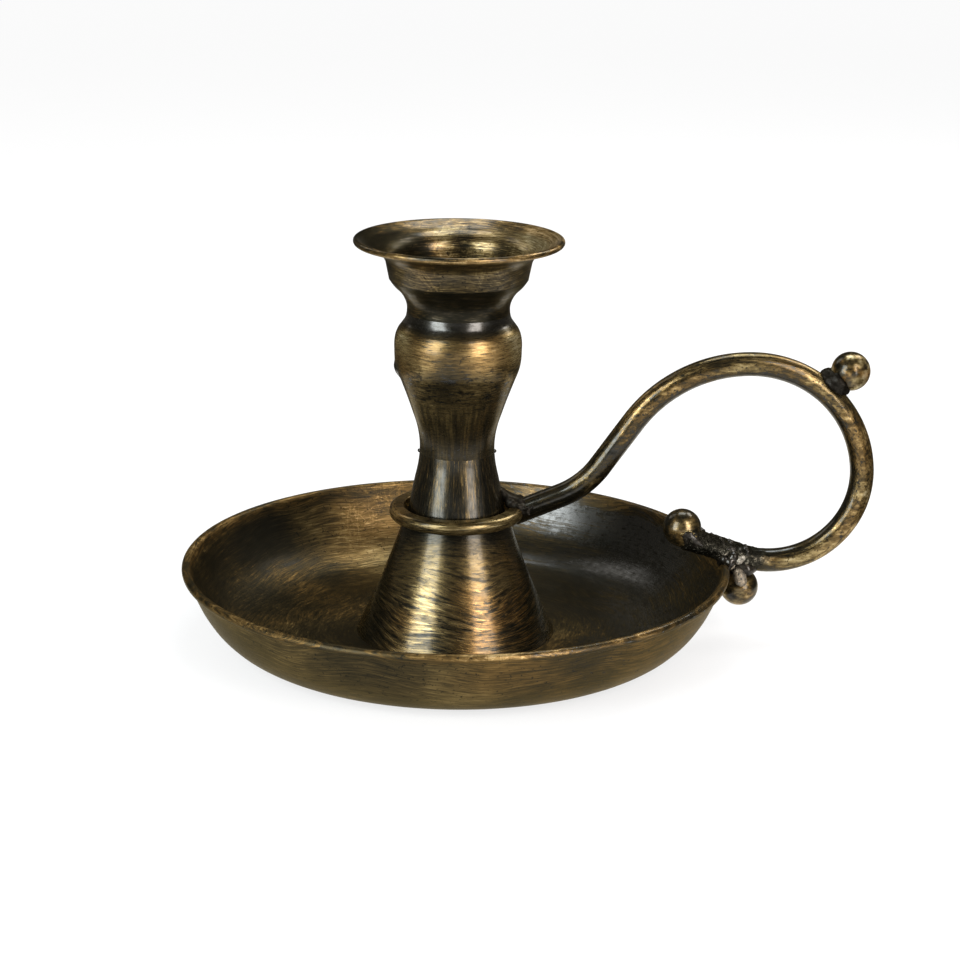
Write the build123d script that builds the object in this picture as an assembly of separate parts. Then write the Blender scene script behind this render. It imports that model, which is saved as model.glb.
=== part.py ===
from build123d import *
import math
import os

# Chamberstick: a spun drip pan, a hollow cone and a turned stem held by one long screw,
# and a bent rod handle with a finger loop and three balls.
# Millimetres. The origin is on the stem's axis in the plane the pan stands on, +Z is up,
# and the handle lies in the XZ plane on the +X side.

# Drip pan, a spun sheet dish with a rolled rim and a raised centre
pan_diameter = 125.0
pan_height = 18.0
pan_sheet = 0.9
rim_bead_radius = 1.0
pan_base_radius = 47.0
recess_depth = 6.0
recess_mouth_radius = 13.0
recess_top_radius = 9.5
# Each pair is a share of the way out from the base to the rim, and a share of the way up
pan_wall_shares = ((0.29, 0.10), (0.53, 0.26), (0.73, 0.48), (0.88, 0.73))

# Cone between the pan and the collar
cone_base_radius = 22.7
cone_top_radius = 11.9
cone_height = 27.1
cone_sheet = 0.9
cone_hollow = 0.55

# Collar ring at the top of the cone, with a thin web that the screw clamps
collar_radius = 15.3
collar_bore_radius = 11.9
collar_thickness = 3.0
collar_web = 1.0
collar_outer_round = 1.3
collar_inner_round = 0.5

# Flared lower half of the stem
stem_sheet = 0.7
stem_foot_radius = 11.2
waist_radius = 8.45
lower_stem_height = 14.6
spigot_length = 4.0
# Shares of the way down from the waist to the foot, and of the way out
flare_shares = ((0.20, 0.13), (0.45, 0.42), (0.70, 0.69))

# Bulb, the upper half of the stem
bulb_height = 32.2
bulb_radius = 14.27
neck_radius = 11.5
bulb_widest_share = 0.735
# Below the widest place: shares of the way up from the waist, and of the way out
bulb_rise_shares = ((0.11, 0.01), (0.26, 0.11), (0.40, 0.29), (0.55, 0.50), (0.70, 0.73), (0.85, 0.945))
# Above it: shares of the way up to the neck, and of the way in
bulb_fall_shares = ((0.34, 0.05), (0.54, 0.26), (0.68, 0.56), (0.84, 0.88))

# Candle cup with its flared lip
cup_height = 16.7
lip_radius = 23.4
lip_bead_radius = 0.7
cup_sheet = 0.7
band_bottom_radius = 15.5
band_top_radius = 16.3
band_height = 4.0
lip_height = 4.4
# From the neck to the band: shares of the way up, and of the way out
cup_foot_shares = ((0.20, 0.00), (0.42, 0.13), (0.62, 0.37), (0.82, 0.75))
# From the band to the lip: shares of the way up, and of the way out
lip_shares = ((0.30, 0.10), (0.58, 0.31), (0.82, 0.62))

# Socket liner that holds the candle
candle_bore_radius = 10.2
liner_sheet = 0.5
liner_depth = 17.0
liner_flange = 0.3
liner_flange_rise = 3.2

# Tie screw, with its washers and nut
screw_radius = 2.0
screw_head_radius = 4.0
screw_head_height = 2.0
screw_slot_width = 1.0
screw_slot_depth = 1.0
screw_end_rise = 0.5
washer_radius = 4.5
washer_thickness = 0.8
spring_washer_radius = 3.8
spring_washer_thickness = 1.0
spring_washer_gap = 0.8
nut_across_flats = 7.0
nut_height = 3.2

# Handle rod, bent from round bar
rod_radius = 2.7
rod_start_rise = 1.75
rod_start_angle = 22.4
foot_straight = 9.0
foot_bend_radius = 20.1
climb_straight = 12.8
crown_bend_radius = 26.2
back_bend_radius = 20.4
crown_heading = -0.2
crown_turn = 87.0
back_turn = 113.0
tip_outer_straight = 2.15
tip_inner_straight = 9.0
rim_notch_depth = 0.45

# Balls welded to the rod
ball_radius = 4.4
tip_ball_lift = 1.5
tip_ball_reach = 1.15
thumb_ball_angle = 48.0
rim_ball_angle = -103.5

# Weld metal
thumb_root_radius = 3.9
thumb_neck_radius = 3.0
neck_draw = 0.3
tip_weld_radius = 3.8
tip_weld_setback = 0.5
rim_weld_radius = 3.6
rim_ball_root_radius = 2.9
collar_weld_rise = 3.8
collar_weld_reach = 4.6
collar_weld_width = 4.4
collar_weld_round = 0.6
tack_radius = 0.45
tack_angles = (0.0, 180.0)

# Gaps
hair = 0.03
slide_gap = 0.1
hole_gap = 0.25
overrun = 1.0

# Places worked out from the sizes above
rim_centre_radius = pan_diameter / 2 - rim_bead_radius
rim_centre_height = pan_height - rim_bead_radius
cone_bottom = pan_sheet
cone_top = cone_bottom + cone_height
stem_bottom = cone_top + collar_web
waist_height = stem_bottom + lower_stem_height
neck_height = waist_height + bulb_height
lip_top = neck_height + cup_height
lip_centre_height = lip_top - lip_bead_radius
lip_centre_radius = lip_radius - lip_bead_radius
band_top = lip_centre_height - lip_height
band_bottom = band_top - band_height
liner_radius = candle_bore_radius + liner_sheet
liner_top = neck_height + liner_flange_rise
liner_floor = liner_top - liner_depth
liner_bottom = liner_floor - liner_sheet
washer_top = recess_depth
spring_washer_top = washer_top - washer_thickness
nut_top = spring_washer_top - spring_washer_thickness
hole_radius = screw_radius + hole_gap


def between(start, end, shares):
    """Points at shares of the way from start to end, each pair as (radius share, height share)."""
    return [
        (start[0] + (end[0] - start[0]) * out, start[1] + (end[1] - start[1]) * up)
        for out, up in shares
    ]


def swapped(shares):
    """Pairs of (height share, radius share) turned into (radius share, height share)."""
    return [(out, up) for up, out in shares]


def spun(face):
    """A face drawn as radius and height, turned about the stem's axis."""
    return revolve(Plane.XZ * face, Axis.Z)


def offset_points(edge, wall, count):
    """Points a wall's thickness to the left of an edge."""
    points = []
    for step in range(count + 1):
        place = edge @ (step / count)
        along = edge % (step / count)
        points.append((place.X - along.Y * wall, place.Y + along.X * wall))
    return points


def shell(outline, wall, start_tangent=None, end_tangent=None):
    """A spun wall whose outer face follows the outline from bottom to top."""
    tangents = [start_tangent, end_tangent] if start_tangent else []
    outer = Spline(*outline, tangents=tangents)
    inner = Spline(*offset_points(outer, wall, 2 * len(outline)))
    ends = [Line(outer @ 0, inner @ 0), Line(outer @ 1, inner @ 1)]
    return spun(make_face([outer, inner, *ends]))


def disc(radius, thickness, bottom, hole=0):
    """A flat round plate on the axis, with a hole through it if one is asked for."""
    plate = Pos(0, 0, bottom) * Cylinder(radius, thickness, align=(Align.CENTER, Align.CENTER, Align.MIN))
    if not hole:
        return plate
    cutter = Pos(0, 0, bottom - overrun) * Cylinder(
        hole, thickness + 2 * overrun, align=(Align.CENTER, Align.CENTER, Align.MIN)
    )
    return plate - cutter


def section(points):
    """A spun solid whose section is a polygon of radius and height points."""
    return spun(make_face(Polyline(*points, close=True)))


def rim_bead(radius=rim_bead_radius):
    """The round bead at the pan's rim."""
    return Pos(0, 0, rim_centre_height) * Torus(rim_centre_radius, radius)


def drip_pan():
    base = (pan_base_radius, 0)
    rim = (rim_centre_radius, rim_centre_height)
    wall = shell([base, *between(base, rim, pan_wall_shares), rim], pan_sheet, (1, 0), (1, 2))
    floor = section(
        [
            (pan_base_radius, 0),
            (recess_mouth_radius, 0),
            (recess_top_radius, recess_depth),
            (hole_radius, recess_depth),
            (hole_radius, recess_depth + pan_sheet),
            (recess_top_radius + pan_sheet / 2, recess_depth + pan_sheet),
            (recess_mouth_radius + pan_sheet / 2, pan_sheet),
            (pan_base_radius, pan_sheet),
        ]
    )
    return wall + floor + rim_bead()


def cone_outline():
    """The cone's outer side from its base to its top, bowed in a little."""
    middle = (
        (cone_base_radius + cone_top_radius) / 2 - cone_hollow,
        (cone_bottom + cone_top) / 2,
    )
    return [(cone_base_radius, cone_bottom), middle, (cone_top_radius, cone_top)]


def stem_cone():
    outer = ThreePointArc(*cone_outline())
    inner = Spline(*offset_points(outer, cone_sheet, 6))
    side = spun(make_face([outer, inner, Line(outer @ 0, inner @ 0), Line(outer @ 1, inner @ 1)]))
    foot = disc(cone_base_radius + overrun, overrun, cone_bottom - overrun)
    head = disc(cone_base_radius, overrun, cone_top)
    plate = disc(cone_top_radius - cone_sheet / 2, cone_sheet, cone_top - cone_sheet)
    hole = disc(hole_radius, cone_sheet + 2 * overrun, cone_top - cone_sheet - overrun)
    return (side - foot) + plate - head - hole


def collar_section(grow=0):
    """The collar's round-edged bead as a solid, made larger all round by grow."""
    outline = Pos((collar_radius + collar_bore_radius) / 2, cone_top + collar_thickness / 2) * Rectangle(
        collar_radius - collar_bore_radius + 2 * grow, collar_thickness + 2 * grow
    )
    outline = fillet(outline.vertices().group_by(Axis.X)[-1], collar_outer_round)
    inner_top = outline.vertices().sort_by(Axis.X)[:2].sort_by(Axis.Y)[-1]
    return spun(fillet(inner_top, collar_inner_round))


def collar_ring():
    web_radius = collar_bore_radius + collar_inner_round
    return collar_section() + disc(web_radius, collar_web, cone_top, hole_radius)


def lower_stem_outline():
    waist = (waist_radius, waist_height)
    foot = (stem_foot_radius, stem_bottom)
    return [foot, *reversed(between(waist, foot, swapped(flare_shares))), waist]


def lower_stem():
    side = shell(lower_stem_outline(), stem_sheet)
    trim = disc(collar_radius, overrun, stem_bottom - overrun)
    foot = disc(stem_foot_radius - stem_sheet / 2, stem_sheet, stem_bottom, hole_radius)
    bore = waist_radius - stem_sheet
    spigot = disc(bore - slide_gap, 2 * spigot_length, waist_height - spigot_length, bore - slide_gap - stem_sheet)
    seat = disc(bore + stem_sheet / 2, stem_sheet, waist_height - stem_sheet, bore - slide_gap - stem_sheet)
    return (side - trim) + foot + spigot + seat


def bulb_stem():
    waist = (waist_radius, waist_height)
    widest = (bulb_radius, waist_height + bulb_height * bulb_widest_share)
    neck = (neck_radius, neck_height)
    outline = [
        waist,
        *between(waist, widest, swapped(bulb_rise_shares)),
        widest,
        *between(widest, neck, swapped(bulb_fall_shares)),
        neck,
    ]
    return shell(outline, stem_sheet, (0, 1), (0, 1))


def candle_cup():
    neck = (neck_radius, neck_height)
    shoulder = (band_bottom_radius, band_bottom)
    brim = (band_top_radius, band_top)
    lip = (lip_centre_radius, lip_centre_height - lip_bead_radius)
    foot = Spline(neck, *between(neck, shoulder, swapped(cup_foot_shares)), shoulder)
    band = Line(shoulder, brim)
    flare = Spline(brim, *between(brim, lip, swapped(lip_shares)), lip)
    inner_foot = Spline(*offset_points(foot, cup_sheet, 10))
    inner_flare = Spline(*offset_points(flare, cup_sheet, 8))
    inner_band = Line(inner_foot @ 1, inner_flare @ 0)
    ends = [Line(foot @ 0, inner_foot @ 0), Line(flare @ 1, inner_flare @ 1)]
    wall = spun(make_face([foot, band, flare, inner_foot, inner_band, inner_flare, *ends]))
    seat = disc(lip_radius, overrun, neck_height - overrun)
    return wall - seat + Pos(0, 0, lip_centre_height) * Torus(lip_centre_radius, lip_bead_radius)


def socket_liner():
    dimple_depth = screw_head_height
    flange_radius = liner_radius + liner_flange
    return section(
        [
            (screw_radius + slide_gap, liner_bottom - dimple_depth),
            (screw_head_radius + slide_gap, liner_bottom),
            (liner_radius, liner_bottom),
            (liner_radius, liner_top - liner_sheet),
            (flange_radius, liner_top - liner_sheet),
            (flange_radius, liner_top),
            (candle_bore_radius, liner_top),
            (candle_bore_radius, liner_floor),
            (screw_head_radius + slide_gap, liner_floor),
            (screw_radius + slide_gap, liner_floor - dimple_depth),
        ]
    )


def tie_screw():
    head = section(
        [
            (0, liner_floor),
            (screw_head_radius, liner_floor),
            (screw_radius, liner_floor - screw_head_height),
            (0, liner_floor - screw_head_height),
        ]
    )
    shank = disc(screw_radius, liner_floor - screw_head_height - screw_end_rise, screw_end_rise)
    slot = Pos(0, 0, liner_floor) * Box(2 * screw_head_radius + overrun, screw_slot_width, 2 * screw_slot_depth)
    return head + shank - slot


def base_washer():
    return disc(washer_radius, washer_thickness, washer_top - washer_thickness, hole_radius)


def spring_washer():
    ring = disc(spring_washer_radius, spring_washer_thickness, nut_top, hole_radius)
    split = Pos(spring_washer_radius, 0, nut_top) * Box(
        2 * spring_washer_radius, spring_washer_gap, 4 * spring_washer_thickness
    )
    return ring - split


def base_nut():
    flats = RegularPolygon(nut_across_flats / 2, 6, major_radius=False)
    nut = Pos(0, 0, nut_top - nut_height) * extrude(flats, nut_height)
    return nut - disc(screw_radius + hair, nut_height + 2 * overrun, nut_top - nut_height - overrun)


def heading_vector(heading):
    turn = math.radians(heading)
    return (math.cos(turn), math.sin(turn))


def step_along(point, heading, distance):
    """The point a distance away along a heading, in degrees."""
    across, up = heading_vector(heading)
    return (point[0] + distance * across, point[1] + distance * up)


def bend_centre(point, heading, radius):
    """The centre of a right-hand bend that starts at a point on a heading."""
    return step_along(point, heading - 90, radius)


def rise_radius(foot, top):
    """The radius of the bend up to the loop's top that leaves the climb its straight length."""
    reach = math.dist(foot, top)
    down = heading_vector(crown_heading - 90)
    drop = down[0] * (top[0] - foot[0]) + down[1] * (top[1] - foot[1])
    return (reach**2 - foot_bend_radius**2 - climb_straight**2) / (2 * (foot_bend_radius - drop))


def rod_route():
    """Centres and headings of the rod's bends, tied to the collar at one end and the rim at the other."""
    start = (collar_radius, cone_top + rod_start_rise)
    tip_heading = crown_heading - crown_turn - back_turn
    seat = rod_radius + rim_bead_radius - rim_notch_depth
    over_rim = step_along((rim_centre_radius, rim_centre_height), tip_heading - 90, seat)
    back_end = step_along(over_rim, tip_heading, -tip_outer_straight)
    tip_end = step_along(over_rim, tip_heading, tip_inner_straight)
    back = bend_centre(back_end, tip_heading, back_bend_radius)
    back_start = step_along(back, crown_heading - crown_turn + 90, back_bend_radius)
    crown = bend_centre(back_start, crown_heading - crown_turn, crown_bend_radius)
    top = step_along(crown, crown_heading + 90, crown_bend_radius)
    foot_start = step_along(start, rod_start_angle, foot_straight)
    foot = step_along(foot_start, rod_start_angle + 90, foot_bend_radius)
    rise_bend_radius = rise_radius(foot, top)
    rise = bend_centre(top, crown_heading, rise_bend_radius)
    bearing = math.degrees(math.atan2(rise[1] - foot[1], rise[0] - foot[0]))
    climb = bearing + math.degrees(math.atan2(foot_bend_radius + rise_bend_radius, climb_straight))
    return {
        "start": start,
        "foot_start": foot_start,
        "foot_end": step_along(foot, climb - 90, foot_bend_radius),
        "rise_start": step_along(rise, climb + 90, rise_bend_radius),
        "climb": climb,
        "rise_bend_radius": rise_bend_radius,
        "crown": crown,
        "back": back,
        "back_end": back_end,
        "tip_end": tip_end,
        "tip_heading": tip_heading,
    }


def rod_path(inward=0):
    """The rod's centreline, started further in towards the stem by inward."""
    route = rod_route()
    first = step_along(route["start"], rod_start_angle, -inward)
    foot_straight_line = Line(first, route["foot_start"])
    foot_bend = JernArc(
        route["foot_start"],
        heading_vector(rod_start_angle),
        foot_bend_radius,
        route["climb"] - rod_start_angle,
    )
    climb_line = Line(foot_bend @ 1, route["rise_start"])
    rise_bend = JernArc(
        route["rise_start"],
        heading_vector(route["climb"]),
        route["rise_bend_radius"],
        crown_heading - route["climb"],
    )
    crown_bend = JernArc(rise_bend @ 1, rise_bend % 1, crown_bend_radius, -crown_turn)
    back_bend = JernArc(crown_bend @ 1, crown_bend % 1, back_bend_radius, -back_turn)
    tip_line = Line(back_bend @ 1, route["tip_end"])
    runs = [foot_straight_line, foot_bend, climb_line, rise_bend, crown_bend, back_bend, tip_line]
    return Plane.XZ * Wire(runs)


def rod_solid(radius, inward=0):
    path = rod_path(inward)
    return sweep(Plane(origin=path @ 0, z_dir=path % 0) * Circle(radius), path=path)


def on_rod(centre_name, bend_radius, angle, distance):
    """A place off the loop's centreline, at an angle about one of its bends."""
    return step_along(rod_route()[centre_name], angle, bend_radius + distance)


def ball_places():
    route = rod_route()
    off_rod = rod_radius + ball_radius + hair
    tip = step_along(route["tip_end"], route["tip_heading"], ball_radius - tip_ball_reach)
    return {
        "thumb_ball": on_rod("crown", crown_bend_radius, thumb_ball_angle, off_rod),
        "rim_ball": on_rod("back", back_bend_radius, rim_ball_angle, off_rod),
        "tip_ball": step_along(tip, route["tip_heading"] - 90, tip_ball_lift),
    }


def ball(name, grow=0):
    place = ball_places()[name]
    return Pos(place[0], 0, place[1]) * Sphere(ball_radius + grow)


def handle_rod():
    """The rod, coped at the collar and the tip ball, and filed where it crosses the rim."""
    rod = rod_solid(rod_radius, rod_radius)
    core = disc(collar_bore_radius + hair, 4 * rod_radius, cone_top - rod_radius)
    return rod - core - collar_section(hair) - rim_bead(rim_bead_radius + hair) - ball("tip_ball", hair)


def neck(start, end, root, waist):
    """A round neck of weld metal from one place in the XZ plane to another, drawn in between them."""
    origin = Vector(start[0], 0, start[1])
    reach = Vector(end[0], 0, end[1]) - origin
    length = reach.length
    flank = ThreePointArc((root, 0), (waist, length / 2), (root, length))
    profile = make_face([Line((0, 0), (root, 0)), flank, Line((root, length), (0, length)), Line((0, length), (0, 0))])
    return Plane(origin=origin, z_dir=reach) * spun(profile)


def clear_of_rod(weld):
    return weld - rod_solid(rod_radius + hair, rod_radius)


def thumb_weld():
    root = on_rod("crown", crown_bend_radius, thumb_ball_angle, 0)
    weld = neck(root, ball_places()["thumb_ball"], thumb_root_radius, thumb_neck_radius)
    return clear_of_rod(weld) - ball("thumb_ball", hair)


def rim_ball_neck(grow=0):
    root = on_rod("back", back_bend_radius, rim_ball_angle, 0)
    radius = rim_ball_root_radius + grow
    return neck(root, ball_places()["rim_ball"], radius, radius - neck_draw)


def rim_ball_weld():
    return clear_of_rod(rim_ball_neck()) - ball("rim_ball", hair)


def tip_weld():
    """A round lump of weld metal where the rod's end meets the tip ball."""
    route = rod_route()
    centre = step_along(route["tip_end"], route["tip_heading"], -tip_weld_setback)
    weld = Pos(centre[0], 0, centre[1]) * Sphere(tip_weld_radius)
    return clear_of_rod(weld) - ball("tip_ball", hair)


def rim_weld():
    """Weld metal on both sides of the rod where it crosses the rim."""
    low = (rim_centre_radius, rim_centre_height)
    high = (rim_centre_radius, rim_centre_height + rod_radius + rim_bead_radius)
    weld = neck(low, high, rim_weld_radius, rim_weld_radius - neck_draw)
    return clear_of_rod(weld) - rim_bead(rim_bead_radius + hair) - rim_ball_neck(hair)


def collar_weld():
    """A web of weld metal from the stem's flare over the collar to the rod's end."""
    bottom = cone_top + collar_thickness + hair
    web_end = collar_radius + collar_weld_reach - rod_radius
    outline = Polyline(
        (stem_foot_radius / 2, bottom),
        (stem_foot_radius / 2, bottom + collar_weld_rise),
        (waist_radius + collar_weld_round, bottom + collar_weld_rise),
        (web_end, bottom + collar_weld_round),
        (web_end, bottom),
        close=True,
    )
    web = extrude(Plane.XZ * make_face(outline), collar_weld_width / 2, both=True)
    web = fillet(web.edges().filter_by(Axis.Y).sort_by(Axis.X)[-2:], collar_weld_round / 2)
    stem = spun(
        make_face(
            [
                Spline(*[(r + hair, z) for r, z in lower_stem_outline()]),
                Line((waist_radius + hair, waist_height), (0, waist_height)),
                Line((0, waist_height), (0, stem_bottom)),
                Line((0, stem_bottom), (stem_foot_radius + hair, stem_bottom)),
            ]
        )
    )
    return clear_of_rod(web) - stem - collar_section(hair)


def seam_tacks():
    """Small tacks on the seam at the waist, where the two halves of the stem meet."""
    reach = waist_radius + hair
    core = disc(reach, 4 * tack_radius, waist_height - 2 * tack_radius)
    tacks = []
    for angle in tack_angles:
        x, y = step_along((0, 0), angle, reach)
        tacks += (Pos(x, y, waist_height) * Sphere(tack_radius) - core).solids()
    return tacks


def write_parts():
    makers = (
        drip_pan,
        stem_cone,
        collar_ring,
        lower_stem,
        bulb_stem,
        candle_cup,
        socket_liner,
        tie_screw,
        base_washer,
        spring_washer,
        base_nut,
        handle_rod,
        thumb_weld,
        rim_ball_weld,
        tip_weld,
        rim_weld,
        collar_weld,
    )
    os.makedirs("parts", exist_ok=True)
    for maker in makers:
        export_step(maker(), f"parts/{maker.__name__}.step")
    for name in ball_places():
        export_step(ball(name), f"parts/{name}.step")
    export_step(Compound(children=seam_tacks()), "parts/seam_tacks.step")


write_parts()
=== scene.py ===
import math
import random

import bpy
from mathutils import Euler, Matrix, Vector


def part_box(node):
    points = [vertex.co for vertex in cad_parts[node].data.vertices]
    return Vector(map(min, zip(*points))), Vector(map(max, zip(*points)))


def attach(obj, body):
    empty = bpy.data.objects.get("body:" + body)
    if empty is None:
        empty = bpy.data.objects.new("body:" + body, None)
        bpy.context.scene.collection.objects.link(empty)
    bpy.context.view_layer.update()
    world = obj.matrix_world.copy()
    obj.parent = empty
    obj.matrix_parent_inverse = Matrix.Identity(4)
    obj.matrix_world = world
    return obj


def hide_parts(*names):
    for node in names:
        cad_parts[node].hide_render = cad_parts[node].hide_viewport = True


# Chamberstick with a finger loop, in aged brass: dark lacquer with gold brushed over it.
# Metres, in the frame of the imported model: +Z up the stem, the handle on the +X side.
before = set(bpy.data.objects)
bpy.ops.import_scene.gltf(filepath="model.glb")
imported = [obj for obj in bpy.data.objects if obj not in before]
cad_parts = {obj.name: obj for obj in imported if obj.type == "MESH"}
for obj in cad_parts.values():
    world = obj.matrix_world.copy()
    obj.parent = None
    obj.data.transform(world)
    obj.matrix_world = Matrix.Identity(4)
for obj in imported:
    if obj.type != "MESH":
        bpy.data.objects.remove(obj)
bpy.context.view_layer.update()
mm = 0.001

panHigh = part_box("drip_pan")[1]
coneLow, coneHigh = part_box("stem_cone")
collarLow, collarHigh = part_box("collar_ring")
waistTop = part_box("bulb_stem")[0].z
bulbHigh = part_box("bulb_stem")[1]
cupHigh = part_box("candle_cup")[1]
linerLow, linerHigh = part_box("socket_liner")


class Field:
    # a node socket that can be reckoned with
    def __init__(self, board, socket):
        self.board = board
        self.socket = socket

    def reckon(self, operation, *others):
        return self.board.add("ShaderNodeMath", {"operation": operation}, [self, *others])

    def __add__(self, other):
        return self.reckon("ADD", other)

    def __sub__(self, other):
        return self.reckon("SUBTRACT", other)

    def __mul__(self, other):
        return self.reckon("MULTIPLY", other)

    def __truediv__(self, other):
        return self.reckon("DIVIDE", other)

    def __pow__(self, other):
        return self.reckon("POWER", other)

    def __rsub__(self, other):
        return self.board.add("ShaderNodeMath", {"operation": "SUBTRACT"}, [other, self])

    __radd__ = __add__
    __rmul__ = __mul__

    def clamp(self):
        return self.board.add("ShaderNodeClamp", {}, [self, 0.0, 1.0])

    def step(self, low, high):
        # 0 below low and 1 above high, with a soft ramp between
        ramp = {"interpolation_type": "SMOOTHSTEP"}
        return self.board.add("ShaderNodeMapRange", ramp, {"Value": self, "From Min": low, "From Max": high})

    def most(self, other):
        return self.reckon("MAXIMUM", other)

    def away(self):
        return self.reckon("ABSOLUTE")


class Board:
    # a node tree, and one way to add any node to it
    def __init__(self, tree):
        self.tree = tree

    def add(self, kind, settings=None, sockets=None, result=0):
        node = self.tree.nodes.new(kind)
        for key, value in (settings or {}).items():
            if key == "stops":
                self.setStops(node.color_ramp, value)
            else:
                setattr(node, key, value)
        items = sockets.items() if isinstance(sockets, dict) else enumerate(sockets or [])
        for key, value in items:
            if isinstance(value, Field):
                self.tree.links.new(value.socket, node.inputs[key])
            elif value is not None:
                node.inputs[key].default_value = value
        return Field(self, node.outputs[result]) if node.outputs else None

    def setStops(self, ramp, stops):
        while len(ramp.elements) > 1:
            ramp.elements.remove(ramp.elements[-1])
        for count, (place, shade) in enumerate(stops):
            stop = ramp.elements[0] if count == 0 else ramp.elements.new(place)
            stop.position = place
            stop.color = (shade, shade, shade, 1) if isinstance(shade, (int, float)) else (*shade, 1)

    def split(self, vector):
        parts = self.add("ShaderNodeSeparateXYZ", {}, [vector])
        return [Field(self, socket) for socket in parts.socket.node.outputs]

    def join(self, x, y, z):
        return self.add("ShaderNodeCombineXYZ", {}, [x, y, z])

    def mix(self, share, first, second, blend="MIX"):
        settings = {"data_type": "RGBA", "blend_type": blend}
        return self.add("ShaderNodeMix", settings, {0: share, 6: colour(first), 7: colour(second)}, 2)

    def noise(self, vector, scale=1.0, detail=2.0, roughness=0.5, distortion=0.0):
        sockets = {
            "Vector": vector,
            "Scale": scale,
            "Detail": detail,
            "Roughness": roughness,
            "Distortion": distortion,
        }
        return self.add("ShaderNodeTexNoise", {}, sockets)

    def ramp(self, value, stops):
        return self.add("ShaderNodeValToRGB", {"stops": stops}, [value])


def colour(value):
    return (*value, 1.0) if isinstance(value, tuple) and len(value) == 3 else value


cameraView = {
    "place": (-3.8 * mm, -520.0 * mm, 195.1 * mm),
    "turn": -1.0,        # degrees towards the handle
    "down": 16.94,
    "roll": 0.75,
    "lens": 89.77,
    "sensor": 36.0,
    "clip": (0.01, 20.0),
}


def makeCamera(view):
    data = bpy.data.cameras.new("camera")
    data.lens = view["lens"]
    data.sensor_width = view["sensor"]
    data.clip_start, data.clip_end = view["clip"]
    camera = bpy.data.objects.new("camera", data)
    bpy.context.scene.collection.objects.link(camera)
    tilt = Matrix.Rotation(math.radians(view["turn"]), 4, "Z")
    tilt @= Matrix.Rotation(math.radians(90 - view["down"]), 4, "X")
    tilt @= Matrix.Rotation(math.radians(view["roll"]), 4, "Z")
    camera.matrix_world = Matrix.Translation(view["place"]) @ tilt
    bpy.context.scene.camera = camera
    bpy.context.scene.view_settings.view_transform = "Standard"


# each lamp: degrees round from the camera to the right, degrees up, distance, width, height, watts, colour
lamps = {
    "leftSoftbox": (-46, 19, 0.62, 0.30, 0.60, 5.7, (0.92, 0.985, 1.0)),
    "rightSoftbox": (38, 19, 0.64, 0.26, 0.60, 4.6, (1.0, 0.93, 0.88)),
    "topSoftbox": (170, 66, 0.70, 0.34, 0.22, 1.8, (0.90, 0.96, 1.0)),
    "rearLeftSoftbox": (-135, 38, 0.70, 0.24, 0.40, 0.5, (1.0, 0.97, 0.92)),
    "rearRightSoftbox": (128, 38, 0.70, 0.24, 0.40, 2.4, (1.0, 0.97, 0.92)),
}


lampAim = (0, 0, 0.05)


def makeLamps():
    aim = Vector(lampAim)
    for name, (aside, up, distance, width, height, power, shade) in lamps.items():
        data = bpy.data.lights.new(name, "AREA")
        data.shape = "RECTANGLE"
        data.size = width
        data.size_y = height
        data.energy = power
        data.color = shade
        lamp = bpy.data.objects.new(name, data)
        bpy.context.scene.collection.objects.link(lamp)
        away = Euler((0, 0, math.radians(aside))).to_matrix() @ Vector((0, -1, 0))
        away = away * math.cos(math.radians(up)) + Vector((0, 0, math.sin(math.radians(up))))
        lamp.location = aim + away * distance
        lamp.rotation_euler = away.to_track_quat("Z", "Y").to_euler()


studio = {
    "background": 0.98,      # what the camera sees behind the floor
    "fill": 0.70,            # what lights matt surfaces from all round
    "backdrop": 0.80,        # what metal sees near the horizon
    "room": 0.03,            # and above it
    "horizon": 0.14,         # how far up the backdrop fades into the room
    "floorShade": 0.80,
    "floorSeen": 0.22,       # the floor's own shade to the camera and in reflections
    "floorGlow": 0.74,
    "farGlow": 0.06,         # added far from the object
    "far": (0.15, 1.6),
    "floorGrain": 60.0,
    "floorSize": 6.0,
    "floorDrop": 0.05 * mm,
}


def rayKinds(board):
    ray = board.add("ShaderNodeLightPath")
    names = ("Is Camera Ray", "Is Glossy Ray", "Is Transmission Ray")
    return [Field(board, ray.socket.node.outputs[name]) for name in names]


def makeWorld():
    world = bpy.data.worlds.new("studio")
    bpy.context.scene.world = world
    world.use_nodes = True
    world.node_tree.nodes.clear()
    board = Board(world.node_tree)
    camera, glossy, through = rayKinds(board)
    up = board.split(board.add("ShaderNodeNewGeometry", result="Position"))[2]
    room = studio["backdrop"] + up.step(0.0, studio["horizon"]) * (studio["room"] - studio["backdrop"])
    mirrored = (glossy + through).clamp()
    level = studio["fill"] + mirrored * (room - studio["fill"])
    level = level + camera * (studio["background"] - level)
    light = board.add("ShaderNodeBackground", {}, {"Color": (1, 1, 1, 1), "Strength": level})
    board.add("ShaderNodeOutputWorld", {}, {"Surface": light})


def newMaterial(name):
    material = bpy.data.materials.new(name)
    material.use_nodes = True
    material.node_tree.nodes.clear()
    return material, Board(material.node_tree)


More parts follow.
